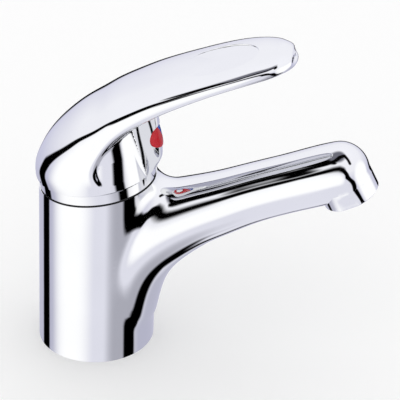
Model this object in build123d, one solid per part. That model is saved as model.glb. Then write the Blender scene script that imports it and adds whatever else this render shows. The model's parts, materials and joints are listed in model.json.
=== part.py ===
from build123d import *
import os
from math import cos, hypot, pi, radians, sin, tan

os.makedirs("parts", exist_ok=True)

# A single-lever basin mixer. Millimetres, +Z up, origin at the centre of the base on the deck.
# The spout points along -Y, hot water is on the -X side.

# ---------------------------------------------------------------- leg and spout
BASE_R = 25.0            # radius of the round leg at the deck
TOP_Y = -2.0             # the leg leans forward a little: centre of its top face
TOP_Z = 78.4
TOP_TILT = 6.4           # the top face and the cartridge lean back by this angle
SPOUT_R = 12.35
SPOUT_RISE = 20.0        # the spout climbs away from the leg
KNEE_Y = -103.3          # centre of the rounded end of the spout
KNEE_Z = 88.8
THROAT_FILLET = 10.0     # hollow between the leg and the top of the spout
OUTLET_TILT = 25.5       # the outlet points down and a little forward
OUTLET_DROP = 5.0        # from the centre of the rounded end to the outlet's seat

# ---------------------------------------------------------------- body castings inside
FOOT_WALL = 4.5          # wall round the hollow foot
BASE_RECESS_DEPTH = 22.0
CHAMBER_FLOOR = -24.0    # floor of the cartridge chamber, below the leg's top face
STUD_R = 3.35            # M8 tapping hole
STUD_Y = 12.5
STUD_DEPTH = 14.0
PORT_R = 4.55            # M10 x 1 tapping holes for the two supply hoses
PORT_X = 8.5
PORT_Y = -2.0
PORT_DEPTH = 12.0
INLET_R = 3.2
INLET_PITCH = 12.0       # distance between the two inlets under the cartridge
INLET_Y = -5.5
OUTFLOW_R = 3.6
OUTFLOW_Y = 8.0
CROSSFLOW_R = 3.0        # passage between the two supply passages
WATERWAY_R = 8.0
BEND_BACK = 44.0         # where the crossing passage opens into the spout's bore
CROSSFLOW_DROP = 9.0     # depth of the crossing passage under the chamber
FOOT_SEAL_WIDE = 2.0
FOOT_SEAL_DEPTH = 1.8

# ---------------------------------------------------------------- cartridge
CARTRIDGE_R = 17.5
CHAMBER_CLEARANCE = 0.15
BASE_THICK = 4.0
DISC_CLEARANCE = 0.3     # discs and turret's flange inside the housing
DISC_THICK = 3.4
MOVING_MARGIN = 2.6      # the moving disc is smaller, so that it can slide
CARRIER_CUT = 2.0        # flats on the carrier, between the turret's cheeks
HOUSING_WALL = 2.6
HOUSING_SHOULDER = -2.0  # height of the shoulder that the nut presses on
NECK_WALL = 2.8
NECK_TOP = 7.0
TURRET_WALL = 1.0        # behind the slot that the stem swings in
TURRET_TOP = 8.2
TURRET_FLANGE_THICK = 2.4
SWING_CLEARANCE = 0.33   # between the lifted stem and the end of its slot
RUN_CLEARANCE = 0.08
SEAL_GROOVE = 2.4        # height of the turret's seal
SEAL_CORD = 1.7
SEAL_BITE = 0.9          # depth of its groove
PIN_R = 1.5
PIN_CLEARANCE = 0.05
STEM_SIDE = 8.0
STEM_TOP = 30.0
STEM_FOOT = 6.0          # reach of the stem below its pivot
STEM_FOOT_R = 2.0
PIVOT_BELOW_RIM = 10.0
LIFT = 25.0              # how far the lever rises

# ---------------------------------------------------------------- nut, ring
NUT_WALL = 2.5           # from the cartridge to the outside of the thread
NUT_LENGTH = 10.8
NUT_TOP = 3.2
RING_STEP = 0.4          # the ring is this much smaller than the leg
RING_TOP = 5.2
RING_GROOVE = 0.7        # shadow gap between the leg and the ring
RING_GROOVE_DEPTH = 0.7

# ---------------------------------------------------------------- handle
RIM_Z = 5.64             # lower rim of the handle above the leg's top face
RIM_PROUD = 0.44         # the handle's rim stands out over the leg
RIM_WALL = 0.7
HUB_STEP = 0.14          # the hub's foot is this much smaller than the rim
HUB_TAPER = 2.3
HUB_HEIGHT = 42.0
NOSE_Y = -29.0           # front of the boss that carries the index button
NOSE_R = 5.0
PAD_Y = -52.1            # middle of the thumb rest
PAD_HIGH = 59.0          # crown of the lever there, above the leg's top
PAD_SLOPE = 17.1
PAD_HALF_LENGTH = 16.8
PAD_HALF_WIDTH = 11.3
PAD_DEPTH = 0.55
INDEX_Z = 18.6
INDEX_R = 4.5
INDEX_PROUD = 0.4        # the dome's crown stands out of the boss
INDEX_DEPTH = 4.2        # depth of its hole
INDEX_PLUG = 1.4         # thickness of the button's foot
SCREW_R = 2.5
SCREW_LENGTH = 8.0
SOCKET_R = 8.0
SOCKET_BOTTOM = 17.0
SOCKET_CLEARANCE = 0.05

# ---------------------------------------------------------------- outlet
NIPPLE_R = 10.9          # M22 x 1 thread on the spout's end
NIPPLE_BORE = 9.4
AERATOR_R = 12.1
AERATOR_CLEARANCE = 0.15
AERATOR_HEIGHT = 7.3
AERATOR_LIP = 1.3
AERATOR_MOUTH = 9.3
WASHER_THICK = 1.2
FLANGE_THICK = 1.2
INSERT_R = 9.1
INSERT_HEIGHT = 9.0
FLAT_START = 2.4         # the spanner flats start below the cap's upper rim
FLAT_HALF = 11.4         # half the width across the flats
HOLE_PITCH = 2.5         # honeycomb of the aerator
HOLE_R = 0.9


# ---------------------------------------------------------------- sizes that follow from those
BASE_RECESS_R = BASE_R - FOOT_WALL
RING_R = BASE_R - RING_STEP
RIM_R = BASE_R + RIM_PROUD
HUB_LOW_R = RIM_R - HUB_STEP
HUB_TOP_R = HUB_LOW_R - HUB_TAPER
NUT_THREAD_R = CARTRIDGE_R + NUT_WALL


def turned(angle):
    """Unit vector in the YZ plane, leaning back from vertical by the angle."""
    return Vector(0, sin(radians(angle)), cos(radians(angle)))


# The leaning frame of the leg's top face: local Z is the cartridge's axis.
LEAN = Plane(origin=(0, TOP_Y, TOP_Z), x_dir=(1, 0, 0), z_dir=turned(TOP_TILT))
OUT = Vector(0, -sin(radians(OUTLET_TILT)), -cos(radians(OUTLET_TILT)))
KNEE = Vector(0, KNEE_Y, KNEE_Z)
OUTLET = Plane(origin=KNEE + OUT * OUTLET_DROP, x_dir=(1, 0, 0), z_dir=OUT)
ALONG = Vector(0, -cos(radians(SPOUT_RISE)), sin(radians(SPOUT_RISE)))
SPOUT_UP = turned(SPOUT_RISE)


def rod(radius, low, high, at=(0, 0)):
    """Upright round bar of the leaning frame, between two heights."""
    return Pos(at[0], at[1], (low + high) / 2) * Cylinder(radius, high - low)


def tube(outer, inner, low, high):
    return rod(outer, low, high) - rod(inner, low - 1, high + 1)


def crossbar(radius, start, end, height):
    """Round bar along the leaning frame's Y, between two Y values."""
    return Pos(0, (start + end) / 2, height) * Rot(90, 0, 0) * Cylinder(radius, end - start)


def block(x, y, low, high, at=(0, 0)):
    return Pos(at[0], at[1], (low + high) / 2) * Box(x, y, high - low)


def oval(middle, high, half, low, power_high=2.0, power_low=2.0, count=24):
    """Closed section across X: half wide, reaching high on one side and low on the other."""
    upward = (high - middle).normalized()
    reach = (high - middle).length
    points = []
    for step in range(count):
        angle = 2 * pi * step / count
        across, along = cos(angle), sin(angle)
        power, depth = (power_high, reach) if along >= 0 else (power_low, low)
        x = half * abs(across) ** (2 / power) * (1 if across > 0 else -1)
        b = depth * abs(along) ** (2 / power) * (1 if along > 0 else -1)
        points.append(middle + Vector(1, 0, 0) * x + upward * b)
    return Face(Wire([Spline(*points, periodic=True)]))


def lean(shape):
    """Place a shape drawn in the leaning frame."""
    return LEAN.location * shape


def out(shape):
    """Place a shape drawn on the outlet's seat, its Z pointing the way the water leaves."""
    return OUTLET.location * shape


# ================================================================ body casting
# Stations of the horn that grows out of the leg: under side, upper side, half width. The under
# side keeps its distance ahead of the leg's front, and the horn ends level with the top's edge.
FRONT_Y = -BASE_R
FRONT_Z = TOP_Z - BASE_R * sin(radians(TOP_TILT))
HORN = [
    ((FRONT_Y + 5.0, 2.0), (10.0, 14.0), 17.5),
    ((FRONT_Y - 2.2, 17.0), (10.0, 34.0), 21.0),
    ((FRONT_Y - 5.0, 28.5), (6.0, 48.0), 21.5),
    ((FRONT_Y - 9.2, 37.5), (0.0, 60.0), 20.8),
    ((FRONT_Y - 16.0, 44.9), (-11.0, 70.0), 18.8),
    ((FRONT_Y - 24.5, 51.6), (FRONT_Y - 1.0, FRONT_Z), 16.2),
]
# Then round sections: distance back from the rounded end, radius.
SPOUT_ROUNDS = [(52.0, 13.5), (40.0, 12.65), (28.0, SPOUT_R), (20.0, SPOUT_R)]


def body_outside():
    sections = []
    for under, over, half in HORN:
        low, high = Vector(0, *under), Vector(0, *over)
        middle = (low + high) * 0.5
        sections.append(oval(middle, high, half, (middle - low).length))
    for back, radius in SPOUT_ROUNDS:
        centre = KNEE - ALONG * back - SPOUT_UP * (radius - SPOUT_R)
        sections.append(oval(centre, centre + SPOUT_UP * radius, radius, radius))
    for angle in (0, 15, 30, 45, 60, 75):
        radius = SPOUT_R * cos(radians(angle))
        centre = KNEE + ALONG * SPOUT_R * sin(radians(angle))
        sections.append(oval(centre, centre + SPOUT_UP * radius, radius, radius))
    leg = loft([Plane.XY * Circle(BASE_R), LEAN * Circle(BASE_R)], ruled=True)
    form = leg + loft(sections + [Vertex(KNEE + ALONG * SPOUT_R)])
    crease = [e for e in form.edges() if e.bounding_box().min.Z > 1 and e.length > 150
              and e.bounding_box().min.Z < BASE_R and e.bounding_box().max.Z < TOP_Z]
    form = form.fillet(THROAT_FILLET, crease)
    return form + out(rod(AERATOR_R, -OUTLET_DROP, 0))


def make_body():
    form = body_outside()
    # round pocket for the aerator, with its threaded nipple in the middle
    form -= out(rod(AERATOR_R + AERATOR_CLEARANCE, 0, 2 * SPOUT_R))
    form += out(rod(NIPPLE_R, -1, NIPPLE_LENGTH))
    # cartridge chamber, with the wider thread of the nut above it
    form -= lean(rod(CARTRIDGE_R + CHAMBER_CLEARANCE, CHAMBER_FLOOR, 2))
    form -= lean(rod(NUT_THREAD_R, NUT_LOW - 0.2, 2))
    # hollow foot with a groove for its seal
    form -= Pos(0, 0, BASE_RECESS_DEPTH / 2) * Cylinder(BASE_RECESS_R, BASE_RECESS_DEPTH)
    form -= make_foot_seal()
    # fixing stud and supply hoses screw in from below
    form -= Pos(0, STUD_Y, BASE_RECESS_DEPTH + STUD_DEPTH / 2) * Cylinder(STUD_R, STUD_DEPTH)
    for side in (-1, 1):
        port = Pos(side * PORT_X, PORT_Y, BASE_RECESS_DEPTH + PORT_DEPTH / 2)
        form -= port * Cylinder(PORT_R, PORT_DEPTH)
        low = Vector(side * PORT_X, PORT_Y, BASE_RECESS_DEPTH + PORT_DEPTH - 1)
        high = LEAN.from_local_coords(Vector(side * INLET_PITCH / 2, INLET_Y, CHAMBER_FLOOR + 1))
        form -= passage(low, high, INLET_R)
    # mixed water drops at the back, crosses between the supplies and runs along the spout
    start = LEAN.from_local_coords(Vector(0, OUTFLOW_Y, CHAMBER_FLOOR + 1))
    turn = LEAN.from_local_coords(Vector(0, OUTFLOW_Y, CHAMBER_FLOOR - CROSSFLOW_DROP))
    bend = KNEE - ALONG * BEND_BACK
    form -= passage(start, turn, OUTFLOW_R)
    form -= Pos(turn) * Sphere(OUTFLOW_R)
    form -= passage(turn, bend, CROSSFLOW_R)
    form -= Pos(bend) * Sphere(WATERWAY_R)
    form -= passage(bend, KNEE, WATERWAY_R)
    form -= Pos(KNEE) * Sphere(WATERWAY_R)
    form -= out(rod(WATERWAY_R, -OUTLET_DROP - 1, 1))
    return form - out(rod(NIPPLE_BORE, -3.0, NIPPLE_LENGTH + 1))


def passage(start, end, radius):
    """Round bar from one point to another."""
    run = end - start
    frame = Plane(origin=start + run * 0.5, z_dir=run.normalized())
    return frame.location * Cylinder(radius, run.length)


NIPPLE_LENGTH = AERATOR_HEIGHT - AERATOR_LIP - FLANGE_THICK - WASHER_THICK

# ================================================================ cartridge, bottom to top
BASE_HIGH = CHAMBER_FLOOR + BASE_THICK
FIXED_HIGH = BASE_HIGH + DISC_THICK
MOVING_HIGH = FIXED_HIGH + DISC_THICK
PIVOT_Z = RIM_Z - PIVOT_BELOW_RIM
STEM_HALF = STEM_SIDE / 2
CARRIER_HIGH = PIVOT_Z - STEM_HALF - 0.4
DISC_TRAVEL = STEM_FOOT * radians(LIFT)
REST_Y = DISC_TRAVEL / 2     # the discs rest behind the axis and travel as far in front of it
HOUSING_IN_R = CARTRIDGE_R - HOUSING_WALL
DISC_R = HOUSING_IN_R - DISC_CLEARANCE
MOVING_R = DISC_R - MOVING_MARGIN
CARRIER_HALF = MOVING_R - CARRIER_CUT
ROOF = HOUSING_SHOULDER - HOUSING_WALL
SWING = STEM_HALF / cos(radians(LIFT)) + (TURRET_TOP - PIVOT_Z) * tan(radians(LIFT))
SLOT_BACK = SWING + SWING_CLEARANCE
SLOT_HALF = STEM_HALF + 0.3
TURRET_R = SLOT_BACK + TURRET_WALL
NECK_R = TURRET_R + NECK_WALL
SEAL_HIGH = CHAMBER_FLOOR + 1.5
SEAL_WIDE = 1.8


def water_holes():
    """Centre and radius of the hot inlet, the cold inlet and the outlet."""
    half = INLET_PITCH / 2
    return [(-half, INLET_Y, INLET_R), (half, INLET_Y, INLET_R), (0, OUTFLOW_Y, OUTFLOW_R)]


def water_seal(number):
    x, y, radius = water_holes()[number]
    return (rod(radius + SEAL_WIDE, CHAMBER_FLOOR, SEAL_HIGH, (x, y))
            - rod(radius, CHAMBER_FLOOR - 1, SEAL_HIGH + 1, (x, y)))


def make_cartridge_base():
    """Plastic plate with two inlets, an outlet and a seat for the seal of each."""
    plate = rod(CARTRIDGE_R, CHAMBER_FLOOR, BASE_HIGH)
    for x, y, radius in water_holes():
        plate -= rod(radius, CHAMBER_FLOOR - 1, BASE_HIGH + 1, (x, y))
        plate -= rod(radius + SEAL_WIDE, CHAMBER_FLOOR - 1, SEAL_HIGH, (x, y))
    return lean(plate)


def make_inlet_seals():
    return lean(water_seal(0)) + lean(water_seal(1))


def make_outflow_seal():
    return lean(water_seal(2))


def make_fixed_disc():
    disc = rod(DISC_R, BASE_HIGH, FIXED_HIGH)
    for x, y, radius in water_holes():
        disc -= rod(radius - 0.4, BASE_HIGH - 1, FIXED_HIGH + 1, (x, y))
    for side in (-1, 1):
        disc -= rod(1.6, BASE_HIGH - 1, FIXED_HIGH + 1, (side * DISC_R, 0))
    return lean(disc)


def make_moving_disc():
    """Ceramic disc with the mixing pocket in its lower face."""
    disc = rod(MOVING_R, FIXED_HIGH, MOVING_HIGH, (0, REST_Y))
    pocket_high = FIXED_HIGH + DISC_THICK / 2
    pocket = rod(OUTFLOW_R, FIXED_HIGH - 1, pocket_high, (0, OUTFLOW_Y - 1))
    pocket += block(2 * OUTFLOW_R, OUTFLOW_Y, FIXED_HIGH - 1, pocket_high, (0, OUTFLOW_Y / 2 - 1))
    pocket += block(INLET_PITCH + INLET_R, 2.6, FIXED_HIGH - 1, pocket_high, (0, -0.6))
    return lean(disc - pocket)


def make_disc_carrier():
    """Slides between the turret's cheeks and drags the moving disc."""
    carrier = rod(MOVING_R, MOVING_HIGH, CARRIER_HIGH, (0, REST_Y))
    carrier &= block(2 * CARRIER_HALF, 4 * MOVING_R, MOVING_HIGH, CARRIER_HIGH)
    slot_r = STEM_FOOT_R + 0.3
    carrier -= rod(slot_r, MOVING_HIGH + 0.4, CARRIER_HIGH + 1)
    return lean(carrier)


def make_cartridge_housing():
    """Cup that holds the discs, with a shoulder for the nut and a neck for the turret."""
    cup = rod(CARTRIDGE_R, BASE_HIGH, HOUSING_SHOULDER)
    cup += rod(NECK_R, HOUSING_SHOULDER, NECK_TOP)
    cup -= rod(HOUSING_IN_R, BASE_HIGH - 1, ROOF)
    cup -= rod(TURRET_R + RUN_CLEARANCE, ROOF - 1, NECK_TOP + 1)
    for side in (-1, 1):
        cup += rod(1.5, BASE_HIGH, FIXED_HIGH, (side * (DISC_R + 0.1), 0))
    return lean(cup)


def make_turret():
    """Turns in the housing's neck, carries the pivot pin and guides the disc carrier."""
    flange_high = ROOF - RUN_CLEARANCE
    flange_low = flange_high - TURRET_FLANGE_THICK
    flange_r = DISC_R
    form = rod(flange_r, flange_low, flange_high)
    cheeks = rod(flange_r, MOVING_HIGH + 0.3, flange_low)
    cheeks -= block(2 * CARRIER_HALF + 0.3, 4 * flange_r, MOVING_HIGH, flange_low)
    form += cheeks
    form += rod(TURRET_R, flange_high, TURRET_TOP)
    half = SEAL_CORD / 2 + 0.05
    form -= tube(TURRET_R + 1, TURRET_R - SEAL_BITE - 0.02, SEAL_GROOVE - half, SEAL_GROOVE + half)
    slot = SLOT_BACK + SLOT_HALF
    form -= block(2 * SLOT_HALF, slot, flange_low - 1, TURRET_TOP + 1, (0, SLOT_BACK - slot / 2))
    form -= Pos(0, 0, PIVOT_Z) * Rot(0, 90, 0) * Cylinder(PIN_R, 4 * TURRET_R)
    return lean(form)


def make_turret_seal():
    half = SEAL_CORD / 2
    seal = tube(TURRET_R, TURRET_R - SEAL_BITE, SEAL_GROOVE - half, SEAL_GROOVE + half)
    seal -= block(2 * SLOT_HALF + 0.2, 4 * TURRET_R, SEAL_GROOVE - 2, SEAL_GROOVE + 2)
    return lean(seal)


def make_pivot_pin():
    return lean(Pos(0, 0, PIVOT_Z) * Rot(0, 90, 0) * Cylinder(PIN_R, 2 * TURRET_R - 1.2))


def make_stem():
    """Square brass stem with a round hub on the pin and a ball foot in the carrier."""
    form = block(STEM_SIDE, STEM_SIDE, PIVOT_Z, STEM_TOP)
    form = chamfer(form.edges().group_by(Axis.Z)[-1], 0.8)
    form += Pos(0, 0, PIVOT_Z) * Rot(0, 90, 0) * Cylinder(STEM_HALF, STEM_SIDE)
    form += rod(STEM_FOOT_R - 0.6, PIVOT_Z - STEM_FOOT, PIVOT_Z)
    form += Pos(0, 0, PIVOT_Z - STEM_FOOT) * Sphere(STEM_FOOT_R)
    form -= Pos(0, 0, PIVOT_Z) * Rot(0, 90, 0) * Cylinder(PIN_R + PIN_CLEARANCE, 2 * STEM_SIDE)
    return lean(form)


# ================================================================ nut, ring and foot seal
NUT_LOW = NUT_TOP - NUT_LENGTH
HEX_CORNER_R = CARTRIDGE_R / cos(pi / 6)


def make_cartridge_nut():
    """Threaded collar that clamps the cartridge down, with a hexagon as wide as the cartridge."""
    form = rod(NUT_THREAD_R - 0.02, NUT_LOW, 0)
    form += extrude(RegularPolygon(CARTRIDGE_R, 6, major_radius=False), NUT_TOP)
    form -= rod(CARTRIDGE_R + CHAMBER_CLEARANCE, NUT_LOW - 1, HOUSING_SHOULDER)
    form -= rod(NECK_R + 0.15, HOUSING_SHOULDER - 1, NUT_TOP + 1)
    return lean(form)


def make_cap_ring():
    """Chromed ring that covers the nut, with a shadow gap above the leg."""
    form = rod(RING_R, 0, RING_TOP)
    form = chamfer(form.edges().group_by(Axis.Z)[-1], 0.3)
    gap_r = RING_R - RING_GROOVE_DEPTH
    form -= rod(RING_R + 1, -1, RING_GROOVE) - rod(gap_r, -2, RING_GROOVE + 1)
    form -= rod(HEX_CORNER_R + 0.1, -1, NUT_TOP + 0.1)
    form -= rod(NECK_R + 0.5, -1, RING_TOP + 1)
    return lean(form)


def make_foot_seal():
    """Rubber ring let into the foot, flush with the deck."""
    middle = (BASE_RECESS_R + BASE_R) / 2
    outer = Cylinder(middle + FOOT_SEAL_WIDE / 2, FOOT_SEAL_DEPTH)
    inner = Cylinder(middle - FOOT_SEAL_WIDE / 2, 2 * FOOT_SEAL_DEPTH)
    return Pos(0, 0, FOOT_SEAL_DEPTH / 2) * (outer - inner)


# ================================================================ handle
# Stations of the lever from below its rear rim to its tip, heights above the leg's top: middle
# of the edge, crown, half width, depth below the middle, fullness of the crown and under side.
LEVER = [
    ((-1.6, 3.6), (RIM_R - 1.79, 0.8), RIM_R + 0.06, 21.5, 2.0, 2.0),
    ((-1.2, 7.9), (RIM_R - 1.44, 7.3), RIM_R + 0.31, 19.5, 2.0, 2.0),
    ((-1.0, 11.0), (RIM_R - 2.84, 11.8), RIM_R + 0.36, 17.0, 2.0, 2.0),
    ((-1.5, 17.1), (RIM_R - 9.24, 22.7), RIM_R - 0.24, 12.0, 2.0, 2.0),
    ((-4.3, 22.9), (8.0, 31.0), RIM_R - 1.54, 8.0, 2.05, 2.2),
    ((-8.0, 28.3), (-0.6, 36.9), RIM_R - 2.64, 6.4, 2.15, 2.4),
    ((-12.9, 33.5), (-7.5, 41.1), RIM_R - 3.44, 5.4, 2.3, 2.6),
    ((-20.0, 38.8), (-16.2, 45.5), RIM_R - 4.14, 4.8, 2.5, 2.8),
    ((-28.3, 43.6), (-25.6, 49.6), RIM_R - 4.64, 4.2, 2.8, 3.0),
    ((-40.5, 49.4), (-38.6, 54.3), 20.2, 3.5, 3.1, 3.2),
    ((-52.0, 54.2), (-50.6, 58.5), 19.5, 3.2, 3.2, 3.2),
    ((-61.0, 57.5), (-60.0, 61.5), 18.6, 3.2, 3.2, 3.2),
    ((-69.0, 59.8), (-68.3, 63.7), 16.9, 3.1, 3.2, 3.2),
    ((-76.0, 61.4), (-75.6, 65.2), 14.0, 3.1, 3.1, 3.0),
    ((-80.0, 62.0), (-79.7, 65.6), 10.6, 2.9, 2.9, 2.8),
    ((-82.4, 62.0), (-82.2, 64.6), 7.4, 2.3, 2.5, 2.4),
]
LEVER_TIP = (-83.7, 62.6)
# Side outline that ends the round hub inside the lever: Y and height above the leg's top.
HUB_ROOF = [(-40.0, -18.4), (-40.0, 49.6), (-28.0, 42.6), (-12.0, 32.6), (-4.0, 26.1),
            (4.0, 19.1), (14.0, 9.6), (20.0, 1.6), (20.0, -18.4)]
# Horizontal sections of the boss: height above the rim, half width, where its flanks start,
# and how far forward its rounded nose reaches.
BOSS = [
    (-2.0, 8.4, 22.9, 23.4),
    (0.1, 9.4, 22.2, 25.9),
    (2.4, 10.0, 21.9, 27.8),
    (6.0, 10.7, 21.5, 28.8),
    (11.4, 11.3, 21.0, 29.0),
    (20.0, 12.4, 20.0, 29.0),
    (31.0, 13.6, 18.5, 29.0),
]


def lever_form():
    sections = []
    for middle, crown, half, low, full_high, full_low in LEVER:
        middle, crown = Vector(0, *middle), Vector(0, *crown)
        sections.append(oval(middle, crown, half, low, full_high, full_low))
    return Pos(0, 0, TOP_Z) * loft(sections + [Vertex(0, *LEVER_TIP)])


def hub_form():
    low = RIM_Z - 2.0
    cone = lean(Pos(0, 0, low + HUB_HEIGHT / 2) * Cone(HUB_LOW_R, HUB_TOP_R, HUB_HEIGHT))
    side = Pos(0, 0, TOP_Z) * make_face(Plane.YZ * Polyline(*HUB_ROOF, close=True))
    return cone & extrude(side, RIM_R * 2, both=True)


def boss_form():
    sections = []
    for height, half, start, nose in BOSS:
        point = nose_point(half, start, nose)
        outline = Polygon((-half, -start + 9), (half, -start + 9), (half, -start), (0, -point),
                          (-half, -start), align=None)
        tip = outline.vertices().sort_by(Axis.Y)[0]
        sections.append(Pos(0, 0, RIM_Z + height) * fillet(tip, NOSE_R))
    return lean(loft(sections))


def nose_point(half, start, nose):
    """Where two flanks would meet if a round of NOSE_R between them is to end at the nose."""
    low, high = nose, nose + 3 * NOSE_R
    for _ in range(40):
        point = (low + high) / 2
        slope = hypot(half, point - start) / half
        if point - NOSE_R * (slope - 1) < nose:
            low = point
        else:
            high = point
    return low


def handle_hollow():
    """Space inside the handle, round the cartridge's axis, with a lip at the rim."""
    lip = RIM_R - RIM_WALL
    outline = [(0, RIM_Z - 1), (lip, RIM_Z - 1), (lip, RIM_Z), (lip - 0.6, RIM_Z + 1.8),
               (lip - 1.4, RIM_Z + 3.9), (lip - 2.5, RIM_Z + 6.1), (lip - 4.0, RIM_Z + 8.4),
               (lip - 6.9, RIM_Z + 12.4), (lip - 11.3, RIM_Z + 16.8), (SOCKET_R, RIM_Z + 18.4),
               (0, RIM_Z + 18.4)]
    return revolve(make_face(Plane.XZ * Polyline(*outline, close=True)), Axis.Z, 360)


def make_handle():
    form = lever_form() + (hub_form() + boss_form())
    form -= lean(rod(2 * RIM_R, -RIM_R, RIM_Z))
    hollow = handle_hollow()
    hollow -= rod(SOCKET_R, SOCKET_BOTTOM, STEM_TOP)
    hollow -= block(10, 14, SOCKET_BOTTOM - 2.5, STEM_TOP, (0, -7))
    form -= lean(hollow)
    side = STEM_SIDE + 2 * SOCKET_CLEARANCE
    form -= lean(block(side, side, SOCKET_BOTTOM - 5, STEM_TOP + 0.3))
    form -= lean(crossbar(SCREW_R, NOSE_Y + INDEX_DEPTH - 1, -STEM_HALF, INDEX_Z))
    form -= lean(crossbar(INDEX_R + 0.05, NOSE_Y - 5, NOSE_Y + INDEX_DEPTH, INDEX_Z))
    return form - pad_cutter()


def pad_cutter():
    """Oval thumb rest sunk into the crown of the lever."""
    up = turned(PAD_SLOPE)
    floor = Vector(0, PAD_Y, TOP_Z + PAD_HIGH) - up * PAD_DEPTH
    frame = Plane(origin=floor, x_dir=(1, 0, 0), z_dir=up)
    return frame.location * extrude(Ellipse(PAD_HALF_WIDTH, PAD_HALF_LENGTH), 5)


def make_set_screw():
    """Grub screw with a hexagon socket, pressing on the stem."""
    form = crossbar(SCREW_R, -STEM_HALF - SCREW_LENGTH, -STEM_HALF, INDEX_Z)
    socket = extrude(RegularPolygon(1.25, 6, major_radius=False), 3)
    form -= Pos(0, -STEM_HALF - SCREW_LENGTH + 2.5, INDEX_Z) * Rot(90, 0, 0) * socket
    return lean(form)


# ================================================================ index button
INDEX_CENTRE = NOSE_Y + INDEX_DEPTH - 0.3


def make_index_plug():
    """Grey plastic foot of the button, pushed into its hole in the boss."""
    floor = NOSE_Y + INDEX_DEPTH
    return lean(crossbar(INDEX_R, floor - INDEX_PLUG, floor, INDEX_Z))


def index_half(side):
    """One colour of the domed button: -1 is hot, 1 is cold."""
    floor = NOSE_Y + INDEX_DEPTH - INDEX_PLUG
    reach = INDEX_CENTRE - NOSE_Y + INDEX_PROUD
    dome = Pos(0, INDEX_CENTRE, INDEX_Z) * scale(Sphere(1), by=(4.95, reach, 6.6))
    dome &= crossbar(INDEX_R, NOSE_Y - 5, floor, INDEX_Z)
    dome &= block(10, 20, INDEX_Z - 10, INDEX_Z + 10, (side * 5, NOSE_Y))
    return lean(dome)


def make_index_red():
    return index_half(-1)


def make_index_blue():
    return index_half(1)


# ================================================================ aerator
FLANGE_LOW = AERATOR_HEIGHT - AERATOR_LIP - FLANGE_THICK


def make_aerator_housing():
    """Chromed cap nut on the spout's end, with two flats for a spanner."""
    form = rod(AERATOR_R, 0, AERATOR_HEIGHT)
    form = chamfer(form.edges().group_by(Axis.Z)[-1], 0.3)
    form -= rod(NIPPLE_R + 0.02, -1, AERATOR_HEIGHT - AERATOR_LIP)
    form -= rod(AERATOR_MOUTH, 0, AERATOR_HEIGHT + 1)
    for side in (-1, 1):
        flat = block(4, 4 * AERATOR_R, FLAT_START, AERATOR_HEIGHT + 1, (side * (FLAT_HALF + 2), 0))
        form -= flat
    return out(form)


def make_aerator_washer():
    return out(tube(NIPPLE_R - 0.05, AERATOR_MOUTH + 0.2, NIPPLE_LENGTH, FLANGE_LOW))


def make_aerator_insert():
    """Plastic basket with the honeycomb that straightens the stream."""
    high = AERATOR_HEIGHT - 0.3
    form = rod(INSERT_R, high - INSERT_HEIGHT, high)
    form += rod(NIPPLE_R - 0.05, FLANGE_LOW, FLANGE_LOW + FLANGE_THICK)
    form -= rod(INSERT_R - 1.0, high - INSERT_HEIGHT - 1, high - 2.2)
    for column in range(-3, 4):
        for row in range(-3, 4):
            x = column * HOLE_PITCH + (row % 2) * HOLE_PITCH / 2
            y = row * HOLE_PITCH * sin(pi / 3)
            if x * x + y * y < (INSERT_R - 1.9) ** 2:
                form -= rod(HOLE_R, high - 3, high + 1, (x, y))
    return out(form)


def make_aerator_mixer():
    """Perforated plate that breaks the water up, resting high in the basket."""
    high = AERATOR_HEIGHT - 0.3 - INSERT_HEIGHT
    form = rod(INSERT_R - 1.05, high + 1.5, high + 3.5)
    for step in range(10):
        angle = 2 * pi * step / 10
        form -= rod(0.8, high, high + 5, (5.6 * cos(angle), 5.6 * sin(angle)))
    form += rod(2.6, high, high + 1.5)
    return out(form)


# ================================================================ write the pieces
PIECES = {
    "body": make_body,
    "foot_seal": make_foot_seal,
    "cap_ring": make_cap_ring,
    "cartridge_nut": make_cartridge_nut,
    "cartridge_housing": make_cartridge_housing,
    "cartridge_base": make_cartridge_base,
    "inlet_seals": make_inlet_seals,
    "outflow_seal": make_outflow_seal,
    "fixed_disc": make_fixed_disc,
    "moving_disc": make_moving_disc,
    "disc_carrier": make_disc_carrier,
    "turret": make_turret,
    "turret_seal": make_turret_seal,
    "pivot_pin": make_pivot_pin,
    "stem": make_stem,
    "handle": make_handle,
    "set_screw": make_set_screw,
    "index_plug": make_index_plug,
    "index_red": make_index_red,
    "index_blue": make_index_blue,
    "aerator_housing": make_aerator_housing,
    "aerator_washer": make_aerator_washer,
    "aerator_insert": make_aerator_insert,
    "aerator_mixer": make_aerator_mixer,
}

for name, make in PIECES.items():
    export_step(make(), f"parts/{name}.step")
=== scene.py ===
import json
from math import atan2, cos, hypot, radians, sin

import bmesh
import bpy
import numpy as np
from mathutils import Matrix, Vector
from mathutils.kdtree import KDTree

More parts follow.
